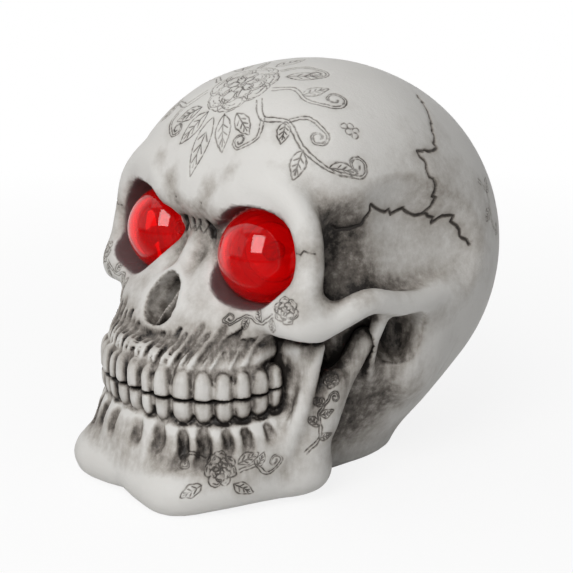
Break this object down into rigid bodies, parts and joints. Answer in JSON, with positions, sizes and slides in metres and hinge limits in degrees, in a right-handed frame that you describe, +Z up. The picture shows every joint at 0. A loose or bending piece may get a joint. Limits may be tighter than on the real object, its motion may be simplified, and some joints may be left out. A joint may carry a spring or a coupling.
{
  "type": "halloween skull decoration",
  "caption": "Hollow cast skull ornament in carved bone finish with a bonded lower jaw, clear red dome eyes lit from behind, and a base plate with a hinged battery cover and a slide switch.",
  "frame": {"origin": "on the floor under the middle of the overall box", "axes": "+Z up, the face looks towards -Y, +X is the skull's own left"},
  "size_m": [0.1112, 0.1337, 0.1184],
  "materials": {
    "bone_resin": "cast resin painted bone white, satin, with a dark wash in the recesses",
    "red_lens": "clear red, polished",
    "led_red": "tinted clear epoxy",
    "white_plastic": "moulded",
    "black_plastic": "moulded, fine texture",
    "steel": "zinc plated",
    "contact_metal": "stamped strip",
    "cell_jacket": "plain jacket with bare ends",
    "board_green": "solder mask",
    "resistor_body": "lacquered, with colour bands",
    "wire_red": "insulated wire",
    "wire_black": "insulated wire"
  },
  "bodies": {
    "skull": {"skull_casting": "bone_resin", "jaw_casting": "bone_resin", "left_eye_lens": "red_lens", "right_eye_lens": "red_lens", "left_led": "led_red", "right_led": "led_red", "left_led_holder": "white_plastic", "right_led_holder": "white_plastic", "base_plate": "black_plastic", "battery_tub": "black_plastic", "switch_body": "black_plastic", "base_screw_1": "steel", "base_screw_2": "steel", "base_screw_3": "steel", "base_screw_4": "steel", "contact_spring_front": "steel", "contact_spring_rear": "steel", "cover_hinge_pin": "steel", "contact_bridge": "contact_metal", "positive_terminal": "contact_metal", "negative_terminal": "contact_metal", "battery_cell_left": "cell_jacket", "battery_cell_right": "cell_jacket", "circuit_board": "board_green", "resistor": "resistor_body", "left_led_wire_red": "wire_red", "right_led_wire_red": "wire_red", "battery_lead_red": "wire_red", "switch_lead": "wire_red", "left_led_wire_black": "wire_black", "right_led_wire_black": "wire_black", "battery_lead_black": "wire_black"},
    "cover": {"battery_cover": "black_plastic"},
    "slider": {"switch_slider": "white_plastic"}
  },
  "joints": [
    {"name": "cover_hinge", "type": "hinge", "parent": "skull", "child": "cover", "pos_m": [0, -0.02414, 0.0024], "axis": [-1, 0, 0], "range_deg": [0, 100]},
    {"name": "switch_slide", "type": "slide", "parent": "skull", "child": "slider", "axis": [0, 1, 0], "range_m": [0, 0.002]}
  ]
}
